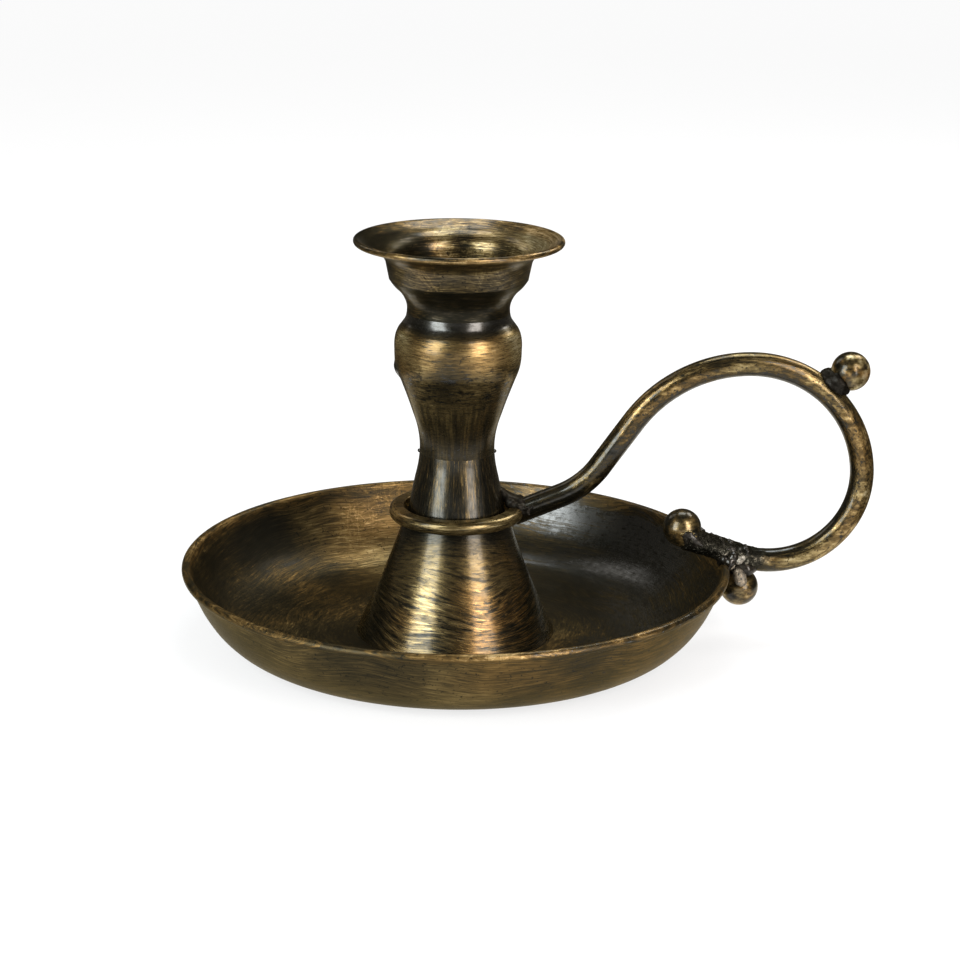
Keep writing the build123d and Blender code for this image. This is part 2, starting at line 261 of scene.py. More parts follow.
def makeFloor():
    size = studio["floorSize"]
    mesh = bpy.data.meshes.new("floor")
    corners = [(-size, -size), (size, -size), (size, size), (-size, size)]
    mesh.from_pydata([(x, y, -studio["floorDrop"]) for x, y in corners], [], [(0, 1, 2, 3)])
    floor = bpy.data.objects.new("floor", mesh)
    bpy.context.scene.collection.objects.link(floor)
    material, board = newMaterial("paleFloor")
    camera, glossy, through = rayKinds(board)
    seen = (camera + glossy + through).clamp()
    place = board.add("ShaderNodeTexCoord", result="Object")
    across, depth = board.split(place)[:2]
    far = ((across * across + depth * depth) ** 0.5).step(*studio["far"])
    shade = studio["floorShade"] + seen * (studio["floorSeen"] - studio["floorShade"])
    shade = shade * (0.99 + board.noise(place, studio["floorGrain"], 3.0) * 0.02)
    matt = board.add("ShaderNodeBsdfDiffuse", {}, {"Color": board.join(shade, shade, shade)})
    glow = board.add("ShaderNodeEmission", {}, {
        "Color": (1, 1, 1, 1),
        "Strength": seen * (studio["floorGlow"] + far * studio["farGlow"]),
    })
    board.add("ShaderNodeOutputMaterial", {}, {"Surface": board.add("ShaderNodeAddShader", {}, [matt, glow])})
    mesh.materials.append(material)


darkCard = {
    "radius": 0.125,
    "height": 0.10,
    "from": 66,          # degrees round from the camera, to either side
    "glow": 0.09,
    "shade": (1, 0.95, 0.85, 1),
    "steps": 48,
}


def makeDarkCards():
    # low dark cards round the sides and the back, which only reflections see
    turns = []
    for step in range(darkCard["steps"] + 1):
        span = 360 - 2 * darkCard["from"]
        turns.append(math.radians(darkCard["from"] + span * step / darkCard["steps"]))
    points = []
    for turn in turns:
        x, y = math.sin(turn) * darkCard["radius"], -math.cos(turn) * darkCard["radius"]
        points += [(x, y, 0.0), (x, y, darkCard["height"])]
    faces = [(2 * step, 2 * step + 2, 2 * step + 3, 2 * step + 1) for step in range(darkCard["steps"])]
    mesh = bpy.data.meshes.new("darkCards")
    mesh.from_pydata(points, [], faces)
    cards = bpy.data.objects.new("darkCards", mesh)
    bpy.context.scene.collection.objects.link(cards)
    material, board = newMaterial("darkCloth")
    glow = board.add("ShaderNodeEmission", {}, {"Color": darkCard["shade"], "Strength": darkCard["glow"]})
    board.add("ShaderNodeOutputMaterial", {}, {"Surface": glow})
    mesh.materials.append(material)
    cards.visible_camera = False
    cards.visible_diffuse = False
    cards.visible_shadow = False
    cards.visible_transmission = False


makeCamera(cameraView)
makeLamps()
makeWorld()
makeFloor()
makeDarkCards()
print("camera, lamps and floor are in place")


def newTree(name, inputs):
    # a geometry tree with named inputs, and its own input and output nodes
    tree = bpy.data.node_groups.new(name, "GeometryNodeTree")
    tree.interface.new_socket("Geometry", in_out="INPUT", socket_type="NodeSocketGeometry")
    for label, kind, value in inputs:
        socket = tree.interface.new_socket(label, in_out="INPUT", socket_type="NodeSocket" + kind)
        if value is not None:
            socket.default_value = value
    tree.interface.new_socket("Geometry", in_out="OUTPUT", socket_type="NodeSocketGeometry")
    board = Board(tree)
    entry = board.add("NodeGroupInput").socket.node
    return board, {socket.name: Field(board, socket) for socket in entry.outputs if socket.name}


sharpEdge = math.radians(40)


def closeTree(board, geometry, finish, keepEdges=False):
    # every tree ends in real geometry with its material set
    real = board.add("GeometryNodeRealizeInstances", {}, {"Geometry": geometry})
    painted = board.add("GeometryNodeSetMaterial", {}, {"Geometry": real, "Material": finish})
    done = board.add("GeometryNodeSetShadeSmooth", {}, {"Geometry": painted})
    if keepEdges:
        sharp = board.add("GeometryNodeInputMeshEdgeAngle").reckon("GREATER_THAN", sharpEdge)
        done = board.add("GeometryNodeSetShadeSmooth", {"domain": "EDGE"}, {
            "Geometry": done,
            "Selection": sharp,
            "Shade Smooth": False,
        })
    board.add("NodeGroupOutput", {}, [done])


def grow(name, source, tree, values, stands):
    # runs a tree on a source object, keeps the result as a plain mesh and lets it stand for CAD nodes
    bpy.context.scene.collection.objects.link(source)
    modifier = source.modifiers.new("tree", "NODES")
    modifier.node_group = tree
    for item in tree.interface.items_tree:
        if item.in_out == "INPUT" and item.name in values:
            modifier[item.identifier] = values[item.name]
    graph = bpy.context.evaluated_depsgraph_get()
    mesh = bpy.data.meshes.new_from_object(source.evaluated_get(graph))
    while len(mesh.materials) > 1 and mesh.materials[0] is None:
        mesh.materials.pop(index=0)
    bpy.data.objects.remove(source)
    piece = bpy.data.objects.new(name, mesh)
    bpy.context.scene.collection.objects.link(piece)
    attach(piece, "root")
    if stands:
        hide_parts(*stands)
    return piece


def makeLatheTree():
    # turns a profile drawn as radius and height about the stem's axis
    board, given = newTree("latheTree", [
        ("Turns", "Int", 192),
        ("Seam", "Float", 0.002 * mm),
        ("Flaw Place", "Vector", None),
        ("Flaw Reach", "Vector", (1 * mm, 1 * mm, 1 * mm)),
        ("Flaw Core", "Float", 0.4),
        ("Flaw Lift", "Float", 0.0),
        ("Finish", "Material", None),
    ])
    points = board.add("GeometryNodeResampleCurve", {"mode": "EVALUATED"}, {"Curve": given["Geometry"]})
    counts = board.add("GeometryNodeAttributeDomainSize", {"component": "CURVE"}, {"Geometry": points})
    sheet = board.add("GeometryNodeMeshGrid", {}, {
        "Size X": 1.0,
        "Size Y": 1.0,
        "Vertices X": given["Turns"] + 1,
        "Vertices Y": counts + 1,
    })
    place = board.add("GeometryNodeInputPosition")
    across, up = board.split(place)[:2]
    turn = (across + 0.5) * math.tau
    row = ((up + 0.5) * counts).reckon("ROUND").reckon("MODULO", counts)
    profile = board.add("GeometryNodeSampleIndex", {"data_type": "FLOAT_VECTOR"}, {
        "Geometry": points,
        "Value": place,
        "Index": row,
    })
    out, _, height = board.split(profile)
    spun = board.join(turn.reckon("COSINE") * out, turn.reckon("SINE") * out, height)
    apart = board.add("ShaderNodeVectorMath", {"operation": "SUBTRACT"}, [spun, given["Flaw Place"]])
    apart = board.add("ShaderNodeVectorMath", {"operation": "DIVIDE"}, [apart, given["Flaw Reach"]])
    apart = board.add("ShaderNodeVectorMath", {"operation": "LENGTH"}, [apart], "Value")
    swell = 1 + (1 - apart.step(given["Flaw Core"], 1.0)) * given["Flaw Lift"]
    uneven = board.add("ShaderNodeVectorMath", {"operation": "MULTIPLY"}, [spun, board.join(swell, swell, 1.0)])
    turned = board.add("GeometryNodeSetPosition", {}, {"Geometry": sheet, "Position": uneven})
    closed = board.add("GeometryNodeMergeByDistance", {}, {"Geometry": turned, "Distance": given["Seam"]})
    closeTree(board, closed, given["Finish"], keepEdges=True)
    return board.tree


def lumpy(board, amount, scale):
    # an uneven push along the normals
    place = board.add("GeometryNodeInputPosition")
    bumps = board.noise(place, scale, 3.0)
    normal = board.add("GeometryNodeInputNormal")
    push = (bumps - 0.5) * amount
    return board.add("ShaderNodeVectorMath", {"operation": "MULTIPLY"}, [normal, board.join(push, push, push)])


crustFade = (-2.0 * mm, 3.0 * mm)        # along the rod, about the place where the crust starts


def makeRodTree():
    # sweeps a round bar along the source curve, and keeps how far along each point lies
    board, given = newTree("rodTree", [
        ("Radius", "Float", 2.7 * mm),
        ("Sides", "Int", 40),
        ("Lumps", "Float", 0.0),
        ("Lump Scale", "Float", 120.0),
        ("Crust From", "Float", 0.14),
        ("Crust", "Float", 0.0),
        ("Crust Scale", "Float", 800.0),
        ("Finish", "Material", None),
    ])
    spline = board.add("GeometryNodeSplineParameter")
    length = Field(board, spline.socket.node.outputs["Length"])
    route = board.add("GeometryNodeStoreNamedAttribute", {"data_type": "FLOAT", "domain": "POINT"}, {
        "Geometry": given["Geometry"],
        "Name": "alongRod",
        "Value": length,
    })
    ring = board.add("GeometryNodeCurvePrimitiveCircle", {}, {"Resolution": given["Sides"], "Radius": given["Radius"]})
    bar = board.add("GeometryNodeCurveToMesh", {}, {"Curve": route, "Profile Curve": ring, "Fill Caps": True})
    pushed = board.add("GeometryNodeSetPosition", {}, {
        "Geometry": bar,
        "Offset": lumpy(board, given["Lumps"], given["Lump Scale"]),
    })
    way = board.add("GeometryNodeInputNamedAttribute", {"data_type": "FLOAT"}, {"Name": "alongRod"})
    cover = (way - given["Crust From"]).step(*crustFade) * given["Crust"]
    crusted = board.add("GeometryNodeSetPosition", {}, {
        "Geometry": pushed,
        "Offset": lumpy(board, cover, given["Crust Scale"]),
    })
    closeTree(board, crusted, given["Finish"])
    return board.tree


def makeWeldTree():
    # melts the source's points, each with its own bead size, into one lumpy bead
    board, given = newTree("weldTree", [
        ("Voxel", "Float", 0.2 * mm),
        ("Threshold", "Float", 0.1),
        ("Melting", "Int", 6),
        ("Lumps", "Float", 0.5 * mm),
        ("Lump Scale", "Float", 700.0),
        ("Finish", "Material", None),
    ])
    size = board.add("GeometryNodeInputNamedAttribute", {"data_type": "FLOAT"}, {"Name": "beadSize"})
    drops = board.add("GeometryNodeMeshToPoints", {}, {"Mesh": given["Geometry"], "Radius": size})
    metal = board.add("GeometryNodePointsToVolume", {"resolution_mode": "VOXEL_SIZE"}, {
        "Points": drops,
        "Voxel Size": given["Voxel"],
        "Radius": size,
    })
    skin = board.add("GeometryNodeVolumeToMesh", {"resolution_mode": "VOXEL_SIZE"}, {
        "Volume": metal,
        "Voxel Size": given["Voxel"],
        "Threshold": given["Threshold"],
    })
    melted = board.add("GeometryNodeBlurAttribute", {"data_type": "FLOAT_VECTOR"}, {
        "Value": board.add("GeometryNodeInputPosition"),
        "Iterations": given["Melting"],
    })
    soft = board.add("GeometryNodeSetPosition", {}, {"Geometry": skin, "Position": melted})
    pushed = board.add("GeometryNodeSetPosition", {}, {
        "Geometry": soft,
        "Offset": lumpy(board, given["Lumps"], given["Lump Scale"]),
    })
    closeTree(board, pushed, given["Finish"])
    return board.tree


def makeBallTree():
    # a ball, a little uneven, about its own centre
    board, given = newTree("ballTree", [
        ("Radius", "Float", 4.4 * mm),
        ("Subdivisions", "Int", 6),
        ("Centre", "Vector", None),
        ("Lumps", "Float", 0.0),
        ("Lump Scale", "Float", 150.0),
        ("Finish", "Material", None),
    ])
    ball = board.add("GeometryNodeMeshIcoSphere", {}, {name: given[name] for name in ("Radius", "Subdivisions")})
    moved = board.add("GeometryNodeSetPosition", {}, {"Geometry": ball, "Offset": given["Centre"]})
    pushed = board.add("GeometryNodeSetPosition", {}, {
        "Geometry": moved,
        "Offset": lumpy(board, given["Lumps"], given["Lump Scale"]),
    })
    closeTree(board, pushed, given["Finish"])
    return board.tree


profileSteps = 6         # points from one knot of a profile to the next


def profileCurve(name, points):
    # points are (radius, height) in mm, with a third entry "corner" where the line is sharp
    data = bpy.data.curves.new(name, "CURVE")
    data.dimensions = "3D"
    data.resolution_u = profileSteps
    line = data.splines.new("BEZIER")
    line.bezier_points.add(len(points) - 1)
    line.use_cyclic_u = True
    for knot, point in zip(line.bezier_points, points):
        knot.co = (point[0] * mm, 0, point[1] * mm)
        kind = "VECTOR" if len(point) > 2 else "AUTO"
        knot.handle_left_type = kind
        knot.handle_right_type = kind
    return bpy.data.objects.new(name, data)


print("geometry trees are ready")

# tones of the aged brass, from black lacquer to rubbed metal
brassTones = [
    (0.00, (0.009, 0.0085, 0.0055)),
    (0.20, (0.019, 0.0155, 0.0085)),
    (0.38, (0.051, 0.037, 0.0160)),
    (0.55, (0.135, 0.095, 0.037)),
    (0.75, (0.330, 0.254, 0.115)),
    (1.00, (0.67, 0.59, 0.38)),
]

# and of the burnt crust at a weld
crustTones = [
    (0.0, (0.006, 0.006, 0.0045)),
    (0.4, (0.022, 0.021, 0.016)),
    (0.7, (0.09, 0.086, 0.068)),
    (1.0, (0.36, 0.34, 0.28)),
]

brushwork = {
    "broad": (1.0, 1.0, 0.0),            # strokes: cells and levels against the look's own, and a seed
    "fine": (2.3, 2.5, 17.0),
    "bristles": (1.3, 1.4, 31.0),
    "smears": (1.8, 0.4, 71.0),
    "drips": (10.0, 90.0, 53.0),         # the drips have their own cells and levels
    "strokeNoise": (4.0, 0.62),          # noises: detail and roughness
    "ballNoise": (4.0, 0.6),
    "pitNoise": (3.0, 0.7),
    "nickNoise": (420.0, 3.0, 0.6),      # and these with their scale
    "glossNoise": (700.0, 3.0, 0.7),
    "crustNoise": (900.0, 3.0, 0.7),
    "rodSquash": 0.2,                    # how much longer the rod's strokes are across it
    "upward": (-0.25, 0.05),             # where a surface counts as facing down, and up
    "spotCore": 0.3,                     # share of a spot's reach that has its full change
    # how much the patches break the edge of the painted shade on the rod
    "paintedShadePatches": 0.8,
    "smearMarks": (0.54, 0.63),
    "smearFade": 3.0,                    # mm at either end
    "dripMiddle": 0.46,
    "dripsOverBristles": 0.8,            # how much of the marks under them the drips cover
    "dripsOverMottle": 0.7,
    "scuffSkew": 40.0,
    "scuffPatches": (0.44, 0.62),
    "scuffOver": (0.12, 0.4),            # tones that take scratches
    "strokeBump": 0.5,
    "pitBump": 0.3,
    "crustEdge": 8.0,                    # mm that the crust's edge wanders
    "crustGrains": (0.50, 0.70),
    # how light the crust's grains are: grey spatter and painted glints
    "crustSpatterAndGlints": 0.62,
    "crustDark": 0.02,
    "crustBump": 0.5 * mm,
    "warmPatches": (0.42, 0.62),
    "warmOver": (0.25, 0.5),             # tones that take the warm tint
}


class Finish:
    # one aged brass finish: dark lacquer, gold brushed over it in strokes, pits and hairline scratches
    def __init__(self, name, look):
        self.look = look
        self.material, self.board = newMaterial(name)
        board = self.board
        texture = board.add("ShaderNodeTexCoord").socket.node
        self.place = Field(board, texture.outputs["Object"])
        self.x, self.y, self.z = board.split(self.place)
        self.radius = ((self.x * self.x + self.y * self.y) ** 0.5).most(0.1 * mm)
        self.facing = board.split(Field(board, texture.outputs["Normal"]))
        self.upward = self.facing[2].step(*brushwork["upward"])
        if look["strokes"] == "rod":
            self.along = board.add("ShaderNodeAttribute", {"attribute_name": "alongRod"}, {}, "Fac")
        self.broad = self.strokes("broad") - 0.5
        self.fine = self.strokes("fine") - 0.5
        self.patches = board.noise(self.place, look["patchScale"], 2.0) - 0.5

    def strokes(self, kind):
        ways = {"round": self.roundStrokes, "rod": self.rodStrokes, "ball": self.ballStrokes}
        cells, levels, seed = brushwork[kind]
        return ways[self.look["strokes"]](self.look["cells"] * cells, self.look["levels"] * levels, seed)

    def roundStrokes(self, cells, levels, seed):
        # strokes that run round the stem's axis
        board, look = self.board, self.look
        level = self.radius * look["levelOut"] + self.z * look["levelUp"]
        level = level + (board.noise(self.place, look["driftScale"], 1.0) - 0.5) * look["drift"]
        turnX, turnY = self.x / self.radius, self.y / self.radius
        vector = board.join(turnX * cells, turnY * cells + seed, level * levels)
        return board.noise(vector, 1.0, *brushwork["strokeNoise"])

    def rodStrokes(self, cells, levels, seed):
        # strokes that run along the rod
        across = self.z * levels * brushwork["rodSquash"]
        vector = self.board.join(self.along * cells + seed, self.y * levels, across)
        return self.board.noise(vector, 1.0, *brushwork["strokeNoise"])

    def ballStrokes(self, cells, levels, seed):
        vector = self.board.join(self.x + seed, self.y, self.z * cells)
        return self.board.noise(vector, levels, *brushwork["ballNoise"])

    def scuffs(self):
        # long curved hairlines that cross each other, in patches
        board, look = self.board, self.look
        marks = 0.0
        for count, degrees in enumerate(look["scuffWays"]):
            turn = math.radians(degrees)
            along = self.x * math.cos(turn) + (self.y + self.z) * math.sin(turn)
            across = (self.y + self.z) * math.cos(turn) - self.x * math.sin(turn)
            vector = board.join(along * look["scuffLong"] + 5.0 * count, across * look["scuffThin"],
                                self.z * brushwork["scuffSkew"])
            marks = 1 - (board.noise(vector, 1.0, 2.0) - 0.5).away().step(0.0, look["scuffWide"]) + marks
        return marks * board.noise(self.place, look["scuffPatch"], 2.0).step(*brushwork["scuffPatches"])

    def above(self, low, high):
        # 0 below one height and 1 above another, in mm
        return self.z.step(low * mm, high * mm)

    def zone(self, value, stops):
        # a tone that follows a height or a way along, in mm
        low, high = stops[0][0], stops[-1][0]
        share = ((value / mm - low) / (high - low)).clamp()
        return self.board.ramp(share, [((place - low) / (high - low), tone) for place, tone in stops])

    def keptOutside(self, share):
        # 1 where the surface faces up, and a share of it underneath
        return share + self.upward * (1 - share) if self.look["outside"] else 1.0

    def placedTone(self):
        # the tone of each place, before any strokes
        look = self.look
        tone = self.zone(self.z, look["zones"]) if look["zones"] else look["tone"]
        if look["outside"]:
            outer = self.zone(self.z, look["outside"])
            tone = outer + self.upward * (tone - outer)
        if look["length"]:
            tone = self.zone(self.along, look["length"])
        for centre, reach, change in look["spots"]:
            away = [(axis - at * mm) * (axis - at * mm) for axis, at in zip((self.x, self.y, self.z), centre)]
            apart = (away[0] + away[1] + away[2]) ** 0.5
            tone = tone + (1 - apart.step(reach * brushwork["spotCore"] * mm, reach * mm)) * change
        for low, high, top in look["rubbed"]:
            tone = tone + self.above(low, high) * (top - tone)
        # painted shade: darkens the side that faces a point, with patches breaking its edge
        if look["shadeTowards"]:
            (x, z), low, high, change = look["shadeTowards"]
            away = (x * mm - self.x, z * mm - self.z)
            apart = (away[0] * away[0] + away[1] * away[1]) ** 0.5
            towards = (self.facing[0] * away[0] + self.facing[2] * away[1]) / apart
            tone = tone + (towards + self.patches * brushwork["paintedShadePatches"]).step(low, high) * change
        return tone

    def wear(self, tone):
        # lays strokes, bristle marks, drips, nicks, scratches and pits over a tone, and gives their bumps too
        board, look = self.board, self.look
        strength = self.keptOutside(look["calm"])
        if look["calmAbove"]:
            low, high, share = look["calmAbove"]
            strength = (1 - self.above(low, high) * (1 - share)) * strength
        mottle = self.patches * look["patches"] + self.broad * look["broad"] + self.fine * look["fine"]
        dark = self.strokes("bristles").step(*look["bristles"]) * look["bristleDepth"] * strength
        if look["smears"]:
            low, high, depth = look["smears"]
            fade = brushwork["smearFade"]
            band = self.above(low, low + fade) * (1 - self.above(high - fade, high))
            dark = dark + self.strokes("smears").step(*brushwork["smearMarks"]) * band * depth
        if look["drips"]:
            top, bottom, depth = look["drips"]
            below = 1 - self.above(bottom, top)
            runs = self.roundStrokes(*brushwork["drips"]) - brushwork["dripMiddle"]
            dark = dark * (1 - below * brushwork["dripsOverBristles"]) + runs * below * depth
            strength = (1 - below * brushwork["dripsOverMottle"]) * strength
        tone = mottle * strength + tone
        for low, high, depth in look["nicks"]:
            nick = board.noise(self.place, *brushwork["nickNoise"]) - 0.5
            tone = tone + self.above(low, high) * nick * depth
        scuffs = self.scuffs() * tone.step(*brushwork["scuffOver"]) * self.keptOutside(look["scuffOutside"])
        pits = board.noise(self.place, look["pitScale"], *brushwork["pitNoise"]).step(*look["pits"])
        tone = tone - dark + scuffs * look["scuffs"] - pits * look["pitDepth"]
        strokes = (self.broad + self.fine) * brushwork["strokeBump"]
        return tone, (strokes - dark - pits * brushwork["pitBump"]) * look["bump"]

    def crust(self, tone, bumps):
        # weld spatter over the end of the rod, and how far it covers each place; its light grains are grey spatter and
        # painted glints
        board = self.board
        low, high = self.look["crust"]
        cover = (self.along + self.patches * brushwork["crustEdge"] * mm).step(low * mm, high * mm)
        grains = board.noise(self.place, *brushwork["crustNoise"])
        # light grains: grey spatter, with painted glints on it
        light = grains.step(*brushwork["crustGrains"]) * brushwork["crustSpatterAndGlints"] - brushwork["crustDark"]
        return tone + cover * light, bumps + cover * grains * brushwork["crustBump"], cover

    def paint(self, tone, cover):
        board, look = self.board, self.look
        paint = board.ramp(tone, look["tones"])
        if look["crust"]:
            paint = board.mix(cover, paint, board.ramp(tone, crustTones))
        warm = board.noise(self.place, look["tintScale"], 1.0).step(*brushwork["warmPatches"])
        if look["warmAbove"]:
            warm = warm.most(self.above(*look["warmAbove"]))
        warm = warm * tone.step(*brushwork["warmOver"]) * look["tint"]
        return board.mix(warm, paint, look["tintColour"], "MULTIPLY")

    def gloss(self, tone, cover):
        # full where the lacquer is whole, less on bare brass, and none on crust
        look = self.look
        full, bare = look["coat"]
        grain = self.fine + self.board.noise(self.place, *brushwork["glossNoise"]) - 0.5
        gloss = (tone.step(*look["lacquer"]) * (bare - full) + full) * (1 + grain * look["coatGrain"])
        gloss = gloss * self.keptOutside(look["glossOutside"]) * (1 - cover)
        for axis, (low, high, share) in look["glossWhere"].items():
            way = {"x": self.x, "z": self.z}[axis]
            gloss = gloss * (share + way.step(low * mm, high * mm) * (1 - share))
        return gloss.clamp()

    def make(self):
        board, look = self.board, self.look
        tone, bumps = self.wear(self.placedTone())
        cover = 0.0
        if look["crust"]:
            tone, bumps, cover = self.crust(tone, bumps)
        tone = tone.clamp()
        rough = look["rough"] + self.fine * look["roughFine"] + (1 - tone) * look["roughDark"]
        shader = board.add("ShaderNodeBsdfPrincipled", {}, {
            "Base Color": self.paint(tone, cover),
            "Metallic": look["metal"],
            "Specular Tint": look["edgeTint"],
            "Roughness": rough.clamp(),
            "Normal": board.add("ShaderNodeBump", {}, {"Strength": 1.0, "Distance": 1.0, "Height": bumps}),
            "Coat Weight": self.gloss(tone, cover),
            "Coat Roughness": look["coatRough"],
            "Coat IOR": look["coatIor"],
        })
        board.add("ShaderNodeOutputMaterial", {}, {"Surface": shader})
        return self.material


plainLook = {
    "strokes": "round",
    "levelOut": 0.0,
    "levelUp": 1.0,
    "driftScale": 60.0,
    "drift": 1.6 * mm,
    "cells": 3.0,
    "levels": 2400.0,
    "tones": brassTones,
    "tone": 0.5,             # from lacquer at 0 to bare brass at 1
    "zones": None,           # (height, tone) up the piece, in place of one tone
    "outside": None,         # (height, tone) where the surface faces down
    "length": None,          # (way along, tone) down the rod
    "rubbed": (),            # (from height, to height, tone) at edges
    "spots": (),             # (centre, reach, change of tone)
    "broad": 0.8,
    "fine": 0.8,
    "bristles": (0.56, 0.66),
    "bristleDepth": 0.25,
    "patches": 0.3,
    "patchScale": 110.0,
    "pitScale": 1100.0,
    "pits": (0.64, 0.72),
    "pitDepth": 0.3,
    "scuffs": 0.05,
    "scuffWays": (8, 70, 128),
    "scuffLong": 90.0,
    "scuffThin": 620.0,
    "scuffWide": 0.03,
    "scuffPatch": 40.0,
    "tint": 0.5,
    "tintColour": (1.0, 0.72, 0.45),
    "tintScale": 50.0,
    "warmAbove": None,       # (from height, to height) above which the brass is all warm
    "rough": 0.27,
    "roughFine": 0.25,
    "roughDark": 0.03,
    "metal": 0.85,
    "edgeTint": (0.75, 0.66, 0.48, 1.0),     # tones down the glare where metal is seen edge on
    "lacquer": (0.12, 0.40), # tones from full lacquer to bare brass
    "coat": (0.45, 0.25),    # gloss of the lacquer, and of the bare brass
    "coatGrain": 2.2,        # how uneven the gloss is
    "coatRough": 0.18,
    "coatIor": 1.5,
    "glossWhere": {},        # per axis: (from, to, share of the gloss that is left below)
    "glossOutside": 1.0,
    "shadeTowards": None,    # painted shade: (point in x and z, from facing, to facing, change) on the side that faces a point
    "smears": None,          # (from height, to height, depth) of dark marks wiped round the piece
    "calm": 1.0,             # how much of the mottling and scratches the outside keeps
    "scuffOutside": 1.0,     # and how much of the scratches alone
    "nicks": (),             # (from height, to height, depth) of small nicks and bright bits above
    "calmAbove": None,       # (from height, to height, share of the mottling that is left above)
    "drips": None,           # (height where they start, height of full depth, depth) of dark runs down the piece
    "crust": None,           # (from, to) along the rod, where weld spatter covers it
    "bump": 0.03 * mm,
}

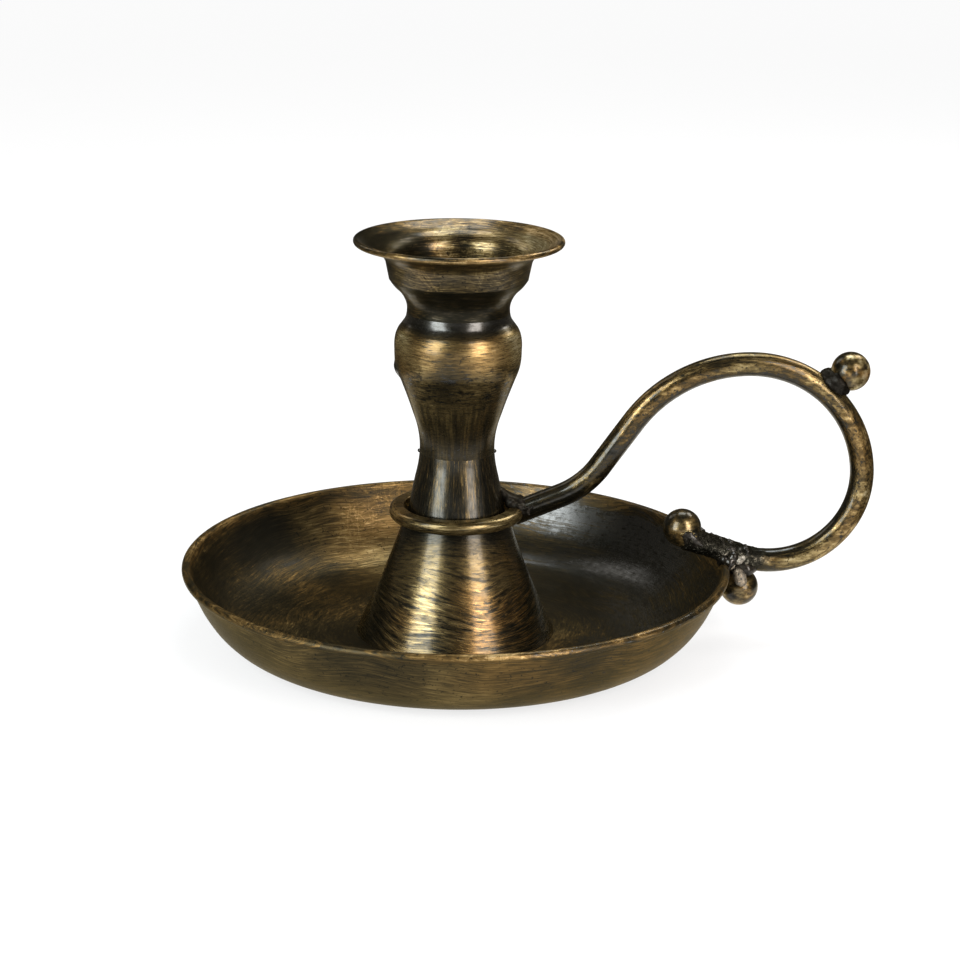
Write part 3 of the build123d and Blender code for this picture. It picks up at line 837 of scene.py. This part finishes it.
looks = {
    "panBrass": {
        "levelOut": 1.0,
        "cells": 7.0,
        "levels": 1500.0,
        "drift": 14.0 * mm,
        "driftScale": 34.0,
        "zones": [(0.9, 0.28), (6.0, 0.27), (12.0, 0.22), (16.0, 0.28), (18.0, 0.46)],
        "outside": [(0.0, 0.34), (6.0, 0.37), (13.0, 0.37), (15.5, 0.42), (18.0, 0.48)],
        "rubbed": ((14.0, 16.4, 0.37), (16.7, 17.3, 0.44)),
        "spots": (((-24, 50, 12), 24, 0.22), ((-48, 30, 12), 19, -0.22), ((-58, 4, 14), 20, -0.10),
                  ((36, 44, 10), 34, -0.22), ((50, 10, 8), 40, -0.11)),
        "broad": 0.7,
        "fine": 0.8,
        "calm": 0.75,
        "scuffOutside": 0.0,
        "nicks": ((16.7, 17.2, 0.35),),
        "bristleDepth": 0.15,
        "patches": 0.8,
        "patchScale": 60.0,
        "pits": (0.60, 0.68),
        "scuffs": 0.10,
        "scuffWays": (6, 50, 95, 150),
        "tint": 0.5,
        "tintScale": 24.0,
        "warmAbove": (14.5, 16.6),
        "rough": 0.42,
        "lacquer": (0.08, 0.30),
        "coat": (1.0, 0.12),
        "coatGrain": 3.0,
        "coatRough": 0.22,
        "coatIor": 1.75,
        "glossWhere": {"x": (-2, 18, 0.12), "z": (4, 12, 0.42)},
        "glossOutside": 0.15,
    },
    "coneBrass": {
        "cells": 2.6,
        "levels": 1500.0,
        "drift": 14.0 * mm,
        "driftScale": 34.0,
        "zones": [(0.9, 0.46), (12.0, 0.51), (21.0, 0.49), (24.5, 0.36), (26.4, 0.16), (28.0, 0.08)],
        # painted shade: the spots darken the cone's left and right sides, high and low, and tone down the highlight
        # low at the front right
        "spots": (((22, -2, 6), 19, -0.26), ((-22, -2, 6), 19, -0.26), ((16, 0, 22), 11, -0.26),
                  ((-16, 0, 22), 11, -0.26), ((11, -17, 4), 9, -0.06)),
        "broad": 1.0,
        "calmAbove": (8.0, 19.0, 0.45),
        "bristles": (0.54, 0.62),
        "bristleDepth": 0.46,
        "tint": 0.75,
        "rough": 0.25,
        "coat": (0.35, 0.4),
    },
    "collarBrass": {"tone": 0.54, "patches": 0.45, "tint": 0.7},
    "lowerStemBrass": {
        "zones": [(29.0, 0.02), (32.0, 0.13), (36.0, 0.20), (43.6, 0.21)],
        "cells": 20.0,
        "levels": 160.0,
        "broad": 1.4,
        "fine": 1.2,
        "rough": 0.24,
        "coat": (0.5, 0.3),
    },
    "bulbBrass": {
        "cells": 3.0,
        "levels": 2300.0,
        "zones": [(43.6, 0.26), (48.6, 0.32), (51.0, 0.40), (57.0, 0.46), (57.6, 0.38), (61.0, 0.40), (64.0, 0.42),
                  (66.0, 0.49), (71.6, 0.52), (72.8, 0.28), (73.8, 0.04), (75.8, 0.03)],
        "drips": (58.5, 54.0, 0.9),
        "smears": (54.5, 67.0, 0.26),
        "calmAbove": (71.5, 73.5, 0.3),
        "broad": 0.45,
        "fine": 0.55,
        "patches": 1.0,
        "patchScale": 80.0,
        "bristleDepth": 0.30,
        "tint": 0.6,
        "spots": (((-13.8, -0.6, 61.4), 4.4, -0.4), ((5.5, -12, 69), 7, 0.08), ((-5.5, -12, 69), 7, -0.02),
                  ((-13, -5, 67), 8, 0.14), ((13, -5, 67), 8, 0.08)),
        "lacquer": (0.04, 0.20),
        "coat": (0.95, 0.16),
        "coatRough": 0.21,
        "coatIor": 1.62,
    },
    "cupBrass": {
        "levelOut": 0.7,
        "zones": [(75.8, 0.03), (80.0, 0.03), (83.0, 0.34), (86.0, 0.38), (90.0, 0.46), (92.5, 0.48)],
        "outside": [(75.8, 0.08), (80.0, 0.12), (83.2, 0.12), (83.6, 0.38), (90.0, 0.38), (90.8, 0.60), (92.5, 0.66)],
        # painted reflections: the spots darken the left of the flare and a gap in the throat, and lighten the right of
        # the flare, two highlights in the throat and the sides of the neck
        "spots": (((-19, 2, 91), 14, -0.42), ((-11, 12, 88), 8, -0.3), ((20, 4, 90), 14, 0.28),
                  ((-4.6, 16.5, 88), 5, 0.18), ((6.9, 16, 88), 5, 0.16), ((0.7, 17, 88), 4, -0.2),
                  ((-11, -5, 78), 8, 0.24), ((11, -5, 78), 8, 0.15)),
        "nicks": ((90.9, 91.6, 0.5),),
        "calm": 0.8,
        "drift": 6.0 * mm,
        "driftScale": 40.0,
        "broad": 1.1,
        "fine": 1.2,
        "pits": (0.60, 0.68),
        "scuffs": 0.11,
        "warmAbove": (90.6, 91.4),
        "tint": 0.5,
        "rough": 0.34,
        "lacquer": (0.05, 0.35),
        "coat": (0.04, 0.35),
    },
    "linerBrass": {"tone": 0.36, "broad": 1.4},
    "rodBrass": {
        "strokes": "rod",
        "cells": 120.0,
        "levels": 2200.0,
        "length": [(0.0, 0.08), (8.0, 0.16), (18.0, 0.32), (36.0, 0.42), (60.0, 0.43), (78.0, 0.44), (92.0, 0.52),
                   (104.0, 0.60), (126.0, 0.58), (138.0, 0.44), (145.0, 0.22), (160.0, 0.16)],
        # painted shade on the side of the rod that faces the loop's centre
        "shadeTowards": ((70, 41), 0.15, 0.95, -0.34),
        "broad": 1.0,
        "fine": 0.9,
        "patches": 0.8,
        "patchScale": 150.0,
        "pits": (0.57, 0.65),
        "pitDepth": 0.35,
        "bristles": (0.56, 0.64),
        "bristleDepth": 0.22,
        "tint": 0.45,
        "crust": (139.0, 143.0),
        "coat": (0.7, 0.2),
        "coatRough": 0.12,
    },
    "ballBrass": {
        "strokes": "ball",
        "cells": 1.0,
        "levels": 260.0,
        "tone": 0.55,
        "broad": 1.5,
        "patches": 1.2,
        "patchScale": 260.0,
        "tint": 0.8,
        "tintScale": 180.0,
        "rough": 0.30,
        "bump": 0.006 * mm,
        "coat": (0.5, 0.4),
        "coatRough": 0.14,
    },
    "weldMetal": {
        "strokes": "ball",
        "cells": 1.0,
        "levels": 700.0,
        "tones": [(0.0, (0.006, 0.005, 0.004)), (0.5, (0.024, 0.021, 0.017)), (0.8, (0.15, 0.137, 0.115)),
                  (1.0, (0.45, 0.42, 0.38))],
        "tone": 0.36,
        "broad": 1.3,
        "rough": 0.40,
        "coat": (0.5, 0.5),
        "coatGrain": 3.5,
        "coatRough": 0.10,
    },
    "greyMetal": {
        "strokes": "ball",
        "cells": 1.0,
        "levels": 900.0,
        "tones": [(0.0, (0.05, 0.045, 0.04)), (0.5, (0.31, 0.295, 0.255)), (1.0, (0.65, 0.62, 0.55))],
        "tone": 0.5,
        "broad": 1.3,
        "rough": 0.5,
        "coat": (0.1, 0.1),
        "bump": 0.35 * mm,
    },
    "darkSteel": {
        "strokes": "ball",
        "cells": 1.0,
        "levels": 900.0,
        "tones": [(0.0, (0.03, 0.03, 0.03)), (0.5, (0.22, 0.21, 0.2)), (1.0, (0.6, 0.58, 0.55))],
        "tone": 0.4,
        "broad": 0.3,
        "fine": 0.3,
        "bristleDepth": 0.0,
        "pitDepth": 0.0,
    },
}
looks["darkBallBrass"] = looks["ballBrass"] | {"tone": 0.39, "patches": 0.6, "tint": 0.4}
looks["sootMetal"] = looks["weldMetal"] | {"tone": 0.12, "rough": 0.5, "coat": (0.05, 0.05)}
finishes = {name: Finish(name, plainLook | look).make() for name, look in looks.items()}
print("finishes are mixed")


def along(start, end, shares):
    # points at (share up, share out) of the way from start to end
    return [(start[0] + (end[0] - start[0]) * out, start[1] + (end[1] - start[1]) * up) for up, out in shares]


def innerLine(points, wall):
    # the same line a wall's thickness to the left of its way, walked back
    inner = []
    for count, (r, z) in enumerate(points):
        before = points[max(count - 1, 0)]
        after = points[min(count + 1, len(points) - 1)]
        run, rise = after[0] - before[0], after[1] - before[1]
        length = math.hypot(run, rise)
        inner.append((r - rise / length * wall, z + run / length * wall))
    return list(reversed(inner))


def bead(centre, radius, first, last, steps):
    # points round a bead, from one angle to another
    turns = [math.radians(first + (last - first) * step / steps) for step in range(steps + 1)]
    return [(centre[0] + radius * math.cos(turn), centre[1] + radius * math.sin(turn)) for turn in turns]


def corner(point):
    return (point[0], point[1], "corner")


pan = {
    "base": 47.0,
    "sheet": 0.9,
    "bead": 1.0,
    "beadTurns": (-112, 160, 9),         # from, to, and the steps between
    "flat": 30.0,
    "heel": 2.7,
    "recess": ((2.25, 6.0), (9.5, 6.0), (13.0, 0.0)),
    "wall": ((0.10, 0.29), (0.26, 0.53), (0.48, 0.73), (0.73, 0.88), (0.90, 0.955)),
    "turns": 288,
}


def panProfile():
    rim = (panHigh.x / mm - pan["bead"], panHigh.z / mm - pan["bead"])
    base = (pan["base"], 0.0)
    outer = [corner(base), *along(base, rim, pan["wall"])]
    inner = innerLine([base, *outer[1:], rim], pan["sheet"])[1:]
    hole, ledge, mouth = pan["recess"]
    sheet = pan["sheet"]
    top = [(r + (sheet / 2 if r > hole[0] else 0), z + sheet) for r, z in (mouth, ledge, hole)]
    return [
        corner(hole),
        corner(ledge),
        corner(mouth),
        (pan["flat"], 0.0),
        (base[0] - pan["heel"], 0.0),
        *outer,
        *bead(rim, pan["bead"], *pan["beadTurns"]),
        *inner,
        (pan["flat"], sheet),
        *[corner(point) for point in top],
    ]


cone = {
    "foot": 22.7,
    "top": 11.9,
    "hollow": 0.55,
    "sheet": 0.9,
    "hole": 2.25,
    "steps": 4,
    "turns": 224,
}


def coneProfile():
    foot = (cone["foot"], coneLow.z / mm)
    top = (cone["top"], coneHigh.z / mm)
    side = []
    for share in [step / cone["steps"] for step in range(cone["steps"] + 1)]:
        hollow = cone["hollow"] * 4 * share * (1 - share)
        side.append((foot[0] + (top[0] - foot[0]) * share - hollow, foot[1] + (top[1] - foot[1]) * share))
    inner = innerLine(side, cone["sheet"])
    under = top[1] - cone["sheet"]
    return [
        corner(side[0]),
        *side[1:-1],
        corner(side[-1]),
        corner((cone["hole"], top[1])),
        corner((cone["hole"], under)),
        corner((inner[0][0], under)),
        *inner[1:-1],
        corner((inner[-1][0], foot[1])),
    ]


collar = {
    "bore": 11.9,
    "outerRound": 1.3,
    "innerRound": 0.5,
    "web": 1.0,
    "steps": 4,
    "innerSteps": 3,
    "hole": 2.25,
    "turns": 224,
}


def collarProfile():
    low, high, reach = collarLow.z / mm, collarHigh.z / mm, collarHigh.x / mm
    soft, small = collar["outerRound"], collar["innerRound"]
    return [
        corner((collar["hole"], low)),
        (reach - 2 * soft, low),
        *bead((reach - soft, low + soft), soft, -90, 0, collar["steps"]),
        *bead((reach - soft, high - soft), soft, 0, 90, collar["steps"]),
        (collar["bore"] + 2 * small, high),
        *bead((collar["bore"] + small, high - small), small, 90, 180, collar["innerSteps"]),
        corner((collar["bore"], low + collar["web"])),
        corner((collar["hole"], low + collar["web"])),
    ]


stem = {
    "sheet": 0.7,
    "foot": 11.2,
    "waist": 8.45,
    "flare": ((0.20, 0.13), (0.45, 0.42), (0.70, 0.69)),
    "spigot": 4.0,
    "gap": 0.1,
    "hole": 2.25,
    "turns": 192,
}


def lowerStemProfile():
    low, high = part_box("lower_stem")[0].z / mm, waistTop / mm
    waist, foot = (stem["waist"], high), (stem["foot"], low)
    outer = [foot, *reversed(along(waist, foot, stem["flare"])), waist]
    inner = innerLine(outer, stem["sheet"])
    spigot = stem["waist"] - stem["sheet"] - stem["gap"]
    return [
        corner((stem["hole"], low)),
        corner(foot),
        *outer[1:-1],
        corner(waist),
        corner((spigot, high)),
        corner((spigot, high + stem["spigot"])),
        corner((spigot - stem["sheet"], high + stem["spigot"])),
        corner((spigot - stem["sheet"], high - stem["sheet"])),
        *inner[1:-1],
        corner((stem["foot"] - stem["sheet"], low + stem["sheet"])),
        corner((stem["hole"], low + stem["sheet"])),
    ]


bulb = {
    "widest": 14.27,
    "widestShare": 0.735,
    "neck": 11.5,
    "rise": ((0.11, 0.01), (0.26, 0.11), (0.40, 0.29), (0.55, 0.50), (0.70, 0.73), (0.85, 0.945)),
    "fall": ((0.34, 0.05), (0.54, 0.26), (0.68, 0.56), (0.84, 0.88)),
    "turns": 288,
    "flaw": ((-13.9, -0.6, 61.2), (1.2, 1.6, 4.2), 0.04),    # a flake of lacquer: place, reach, share it stands out
}


def bulbProfile():
    low, high = waistTop / mm, bulbHigh.z / mm
    waist = (stem["waist"], low)
    widest = (bulb["widest"], low + (high - low) * bulb["widestShare"])
    neck = (bulb["neck"], high)
    outer = [waist, *along(waist, widest, bulb["rise"]), widest, *along(widest, neck, bulb["fall"]), neck]
    inner = innerLine(outer, stem["sheet"])
    return [corner(waist), *outer[1:-1], corner(neck), corner(inner[0]), *inner[1:-1], corner(inner[-1])]


cup = {
    "sheet": 0.7,
    "bandLow": (15.5, 83.4),
    "bandHigh": (16.3, 87.4),
    "foot": ((0.20, 0.0), (0.42, 0.13), (0.62, 0.37), (0.82, 0.75)),
    "flare": ((0.30, 0.10), (0.58, 0.31), (0.82, 0.62)),
    "bead": 0.7,
    "beadTurns": (-100, 100, 8),
    "turns": 256,
}


def cupProfile():
    neck = (bulb["neck"], bulbHigh.z / mm)
    lip = (cupHigh.x / mm - cup["bead"], cupHigh.z / mm - cup["bead"])
    edge = (lip[0], lip[1] - cup["bead"])
    foot = [neck, *along(neck, cup["bandLow"], cup["foot"]), cup["bandLow"]]
    flare = [cup["bandHigh"], *along(cup["bandHigh"], edge, cup["flare"]), edge]
    innerFlare = innerLine(flare, cup["sheet"])
    innerFoot = innerLine(foot, cup["sheet"])
    return [
        corner(neck),
        *foot[1:-1],
        corner(foot[-1]),
        corner(flare[0]),
        *flare[1:-1],
        *bead(lip, cup["bead"], *cup["beadTurns"]),
        *innerFlare[1:],
        *innerFoot[:-1],
        corner((innerFoot[-1][0], neck[1])),
    ]


liner = {
    "bore": 10.2,
    "sheet": 0.5,
    "head": 4.1,
    "screw": 2.1,
    "sink": 2.0,
    "turns": 128,
}


def linerProfile():
    low, high, reach = linerLow.z / mm + liner["sink"], linerHigh.z / mm, linerHigh.x / mm
    outer = liner["bore"] + liner["sheet"]
    points = [
        (liner["screw"], low - liner["sink"]),
        (liner["head"], low),
        (outer, low),
        (outer, high - liner["sheet"]),
        (reach, high - liner["sheet"]),
        (reach, high),
        (liner["bore"], high),
        (liner["bore"], low + liner["sheet"]),
        (liner["head"], low + liner["sheet"]),
        (liner["screw"], low + liner["sheet"] - liner["sink"]),
    ]
    return [corner(point) for point in points]


latheTree = makeLatheTree()
spun = [
    ("dripPan", panProfile(), pan, "panBrass", "drip_pan", "pan_brass"),
    ("stemCone", coneProfile(), cone, "coneBrass", "stem_cone", "stem_brass"),
    ("collarRing", collarProfile(), collar, "collarBrass", "collar_ring", "stem_brass"),
    ("lowerStem", lowerStemProfile(), stem, "lowerStemBrass", "lower_stem", "stem_brass"),
    ("bulbStem", bulbProfile(), bulb, "bulbBrass", "bulb_stem", "stem_brass"),
    ("candleCup", cupProfile(), cup, "cupBrass", "candle_cup", "cup_brass"),
    ("socketLiner", linerProfile(), liner, "linerBrass", "socket_liner", "cup_brass"),
]
for name, profile, sizesOf, finish, node, slot in spun:
    source = profileCurve(name + "Profile", profile)
    values = {"Turns": sizesOf["turns"], "Finish": finishes[finish]}
    if name == "bulbStem":
        place, reach, lift = bulb["flaw"]
        values |= {
            "Flaw Place": [axis * mm for axis in place],
            "Flaw Reach": [axis * mm for axis in reach],
            "Flaw Lift": lift,
        }
    grow(name, source, latheTree, values, [node])
print("pan, cone, collar, stem, cup and liner are spun")


rod = {
    "radius": 2.7,
    "start": (12.9, 28.75),      # inside the collar weld
    "heading": 22.4,
    "runs": (                    # (straight, bend radius, degrees turned), left turns are plus
        (11.6, 20.1, 32.69),
        (12.81, 31.83, -55.29),
        (0.0, 26.2, -87.0),
        (0.0, 20.4, -113.0),
        (13.2, 0.0, 0.0),
    ),
    "step": 0.4,
    "sides": 64,
    "lumps": 0.06,
    "tipForward": 2.2,           # how far the rod's tip stands towards the front
    "tipForwardOver": 14.0,
    "crustFrom": 141.0,
    "crust": 0.7,
}


def rodRoute():
    # walks the rod's straights and bends in the plane of the handle
    x, z, heading = *rod["start"], math.radians(rod["heading"])
    points = [(x, z)]
    for straight, radius, turned in rod["runs"]:
        turn = math.radians(turned)
        for length, bend in ((straight, 0.0), (radius * abs(turn), turn)):
            steps = math.ceil(length / rod["step"])
            for _ in range(steps):
                heading += bend / steps / 2
                x += math.cos(heading) * length / steps
                z += math.sin(heading) * length / steps
                heading += bend / steps / 2
                points.append((x, z))
    return points


def rodCurve():
    data = bpy.data.curves.new("rodRoute", "CURVE")
    data.dimensions = "3D"
    line = data.splines.new("POLY")
    points = rodRoute()
    line.points.add(len(points) - 1)
    last = len(points) - 1
    for count, (knot, (x, z)) in enumerate(zip(line.points, points)):
        forward = max(0.0, 1 - (last - count) * rod["step"] / rod["tipForwardOver"])
        knot.co = (x * mm, -rod["tipForward"] * forward ** 2 * mm, z * mm, 1)
    return bpy.data.objects.new("rodRoute", data)


rodTree = makeRodTree()
rodValues = {
    "Radius": rod["radius"] * mm,
    "Sides": rod["sides"],
    "Lumps": rod["lumps"] * mm,
    "Crust From": rod["crustFrom"] * mm,
    "Crust": rod["crust"] * mm,
    "Finish": finishes["rodBrass"],
}
grow("handleRod", rodCurve(), rodTree, rodValues, ["handle_rod"])
print("the handle rod is bent")


balls = {
    "thumbBall": ("thumb_ball", "ballBrass"),
    "rimBall": ("rim_ball", "darkBallBrass"),
    "tipBall": ("tip_ball", "darkBallBrass"),
}
ballLumps = 0.05

ballTree = makeBallTree()
for name, (node, finish) in balls.items():
    low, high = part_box(node)
    values = {
        "Radius": (high.x - low.x) / 2,
        "Centre": tuple((low + high) / 2),
        "Lumps": ballLumps * mm,
        "Finish": finishes[finish],
    }
    source = bpy.data.objects.new(name + "Seed", bpy.data.meshes.new(name))
    grow(name, source, ballTree, values, [node])
print("the balls are on")

for node in ("tie_screw", "base_washer", "spring_washer", "base_nut"):
    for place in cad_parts[node].material_slots:
        place.material = finishes["darkSteel"]


def mirrored(beads):
    return beads + [(x, -y, z, size) for x, y, z, size in beads]


def facing(centre, marks):
    # beads set on a ball or bar: right, up and towards the camera from its centre
    down = math.radians(cameraView["down"])
    beads = []
    for right, up, near, size in marks:
        y = centre[1] + up * math.sin(down) - near * math.cos(down)
        z = centre[2] + up * math.cos(down) + near * math.sin(down)
        beads.append((centre[0] + right, y, z, size))
    return beads


drops = {
    "seed": 5,
    "count": 80,
    "from": 54.0,            # mm from the stem's axis
    "to": 66.5,
    "below": 30.0,           # keeps to the rod's last stretch
    "size": 0.5,
    "sizes": (0.6, 1.2),
    "turns": (-0.9, 1.5),    # round the rod from its front: down and up
    "sunk": 0.15,
    "square": (0.34, 0.94),  # across and up, square to the rod's last stretch
}


def spatter():
    # drops thrown over the rod's front and top
    chance = random.Random(drops["seed"])
    points = [(x, z) for x, z in rodRoute() if drops["from"] < x < drops["to"] and z < drops["below"]]
    reach = rod["radius"] - drops["sunk"]
    beads = []
    for _ in range(drops["count"]):
        x, z = chance.choice(points)
        turn = chance.uniform(*drops["turns"])
        up, front = math.sin(turn) * reach, math.cos(turn) * reach
        size = drops["size"] * chance.uniform(*drops["sizes"])
        beads.append((x + up * drops["square"][0], -front, z + up * drops["square"][1], size))
    return beads


def middle(node):
    return [(low + high) / 2 / mm for low, high in zip(*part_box(node))]


# beads of weld metal in mm: across, back, up, size
welds = {
    "thumbWeld": {
        "node": "thumb_weld",
        "melting": 14,
        "finish": "sootMetal",
        "beads": mirrored(facing(middle("thumb_ball"), [
            (-3.9, -2.3, 2.2, 1.1), (-3.1, -3.1, 2.2, 1.1), (-4.7, -1.8, 1.8, 1.0), (-2.4, -3.8, 2.0, 1.0),
            (-3.0, -2.4, 2.6, 1.2), (-3.6, -1.5, 2.3, 1.1), (-2.2, -3.2, 2.5, 1.1),
            (-5.5, -2.4, 1.5, 0.9), (-4.6, -3.4, 1.9, 0.9), (-3.5, -4.2, 2.0, 0.9), (-2.5, -4.8, 1.8, 0.9),
            (-6.1, -1.3, 0.9, 0.8), (-6.3, -0.5, 0.2, 0.6), (-5.6, -0.6, 0.5, 0.9), (-4.9, -0.7, 0.7, 1.1),
            (-5.1, -1.7, 1.1, 1.1), (-4.2, -1.5, 1.1, 1.4), (-4.4, -2.6, 1.5, 1.1), (-3.5, -2.3, 1.4, 1.5),
            (-3.4, -3.4, 1.6, 1.1), (-2.6, -3.0, 1.4, 1.5), (-2.3, -4.1, 1.5, 1.1), (-1.7, -3.8, 1.1, 1.4),
            (-1.3, -4.6, 0.9, 1.0), (-1.0, -4.2, 0.5, 0.9),
        ])),
    },
    "tipWeld": {
        "node": "tip_weld",
        "beads": facing(middle("tip_ball"), [
            (-0.4, -1.7, 3.7, 0.6), (0.3, -1.2, 3.9, 0.6), (1.0, -0.9, 4.0, 0.6), (1.7, -1.0, 3.8, 0.65),
            (2.3, -1.5, 3.5, 0.7), (2.8, -2.0, 3.1, 0.8), (0.5, -2.1, 3.2, 1.0), (1.4, -2.0, 3.2, 1.2),
            (2.2, -2.6, 2.7, 1.3), (1.0, -3.1, 2.8, 1.1), (3.0, -3.1, 2.1, 1.5), (2.0, -3.7, 2.2, 1.3),
            (3.8, -3.6, 1.7, 1.5), (4.4, -0.9, 0.4, 1.0), (4.2, -0.4, -0.6, 0.9), (3.9, -1.8, 1.4, 1.0),
        ]),
    },
    "rimWeld": {
        "node": "rim_weld",
        "melting": 4,
        "beads": mirrored([
            (61.4, -2.4, 18.9, 1.3), (62.6, -2.9, 18.4, 1.3), (60.4, -1.6, 19.2, 1.1), (63.4, -2.6, 19.6, 1.2),
            (61.9, -3.0, 17.2, 1.0), (60.9, -1.4, 18.0, 1.2),
        ]) + spatter(),
    },
    "rimBallWeld": {
        "node": "rim_ball_weld",
        "beads": mirrored([
            (65.0, -1.2, 15.8, 1.7), (66.6, -1.4, 16.2, 1.9), (68.0, -1.0, 16.6, 1.5), (64.0, -1.8, 16.4, 1.2),
            (65.9, -0.9, 17.2, 1.8),
        ]),
    },
    "collarWeld": {
        "node": "collar_weld",
        "melting": 12,
        "finish": "sootMetal",
        "beads": mirrored([
            (11.6, -2.0, 33.2, 0.5), (12.6, -2.5, 32.4, 0.5), (13.8, -3.0, 31.6, 0.55), (15.6, -3.3, 31.0, 0.55),
            (17.0, -3.0, 31.0, 0.5), (16.4, -3.4, 29.6, 0.5), (14.6, -1.6, 32.6, 0.5), (10.8, -1.4, 34.2, 0.45),
            (9.6, -0.5, 34.4, 0.9), (10.4, -0.8, 33.6, 1.1), (11.2, -0.9, 33.0, 1.1), (11.8, -1.0, 32.6, 1.2),
            (12.6, -1.0, 32.1, 1.3), (13.4, -0.9, 31.7, 1.3), (14.0, -0.8, 31.5, 1.4), (15.2, -0.6, 31.2, 1.5),
            (16.6, -0.3, 31.1, 1.5), (12.0, -1.8, 31.6, 1.1), (13.2, -2.0, 31.1, 1.1), (14.5, -2.2, 30.8, 1.2),
            (16.0, -2.3, 30.3, 1.1), (17.4, -1.7, 31.2, 1.0), (15.0, -2.6, 29.8, 1.0),
        ]),
    },
}


def weldSeed(name, beads):
    mesh = bpy.data.meshes.new(name + "Seed")
    mesh.from_pydata([(x * mm, y * mm, z * mm) for x, y, z, size in beads], [], [])
    sizes = mesh.attributes.new("beadSize", "FLOAT", "POINT")
    sizes.data.foreach_set("value", [size * mm for x, y, z, size in beads])
    return bpy.data.objects.new(name + "Seed", mesh)


weldSkin = {"Lumps": 0.3 * mm, "Lump Scale": 380.0, "Melting": 24}
globSkin = {"Lumps": 0.7 * mm, "Lump Scale": 800.0, "Melting": 3}

weldTree = makeWeldTree()
for name, weld in welds.items():
    values = weldSkin | {"Finish": finishes[weld.get("finish", "weldMetal")]}
    values["Melting"] = weld.get("melting", weldSkin["Melting"])
    grow(name, weldSeed(name, weld["beads"]), weldTree, values, [weld["node"]])

# grey globs that were left on the balls: ball, finish, and beads set on it
globs = {
    "rimBallGlob": ("rim_ball", "greyMetal", [
        (-0.45, 3.0, 3.4, 1.35), (-0.3, 2.2, 3.8, 1.55), (0.0, 1.3, 4.0, 1.4), (-0.5, 6.0, 4.4, 1.05),
        (-1.1, 6.5, 4.1, 0.9), (0.3, 6.6, 4.1, 0.95), (-2.3, 4.4, 3.8, 0.6), (-1.9, 4.9, 4.1, 0.6),
    ]),
    "tipBallLip": ("tip_ball", "collarBrass", [
        (-0.6, -1.5, 4.1, 0.32), (-0.1, -1.1, 4.3, 0.36), (0.5, -0.8, 4.4, 0.38), (1.1, -0.7, 4.4, 0.38),
        (1.7, -0.9, 4.3, 0.38), (2.3, -1.3, 4.0, 0.36), (2.8, -1.9, 3.7, 0.32),
    ]),
}
for name, (node, finish, marks) in globs.items():
    values = globSkin | {"Finish": finishes[finish]}
    grow(name, weldSeed(name, facing(middle(node), marks)), weldTree, values, [])

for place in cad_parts["seam_tacks"].material_slots:
    place.material = finishes["weldMetal"]
print("the welds are laid")
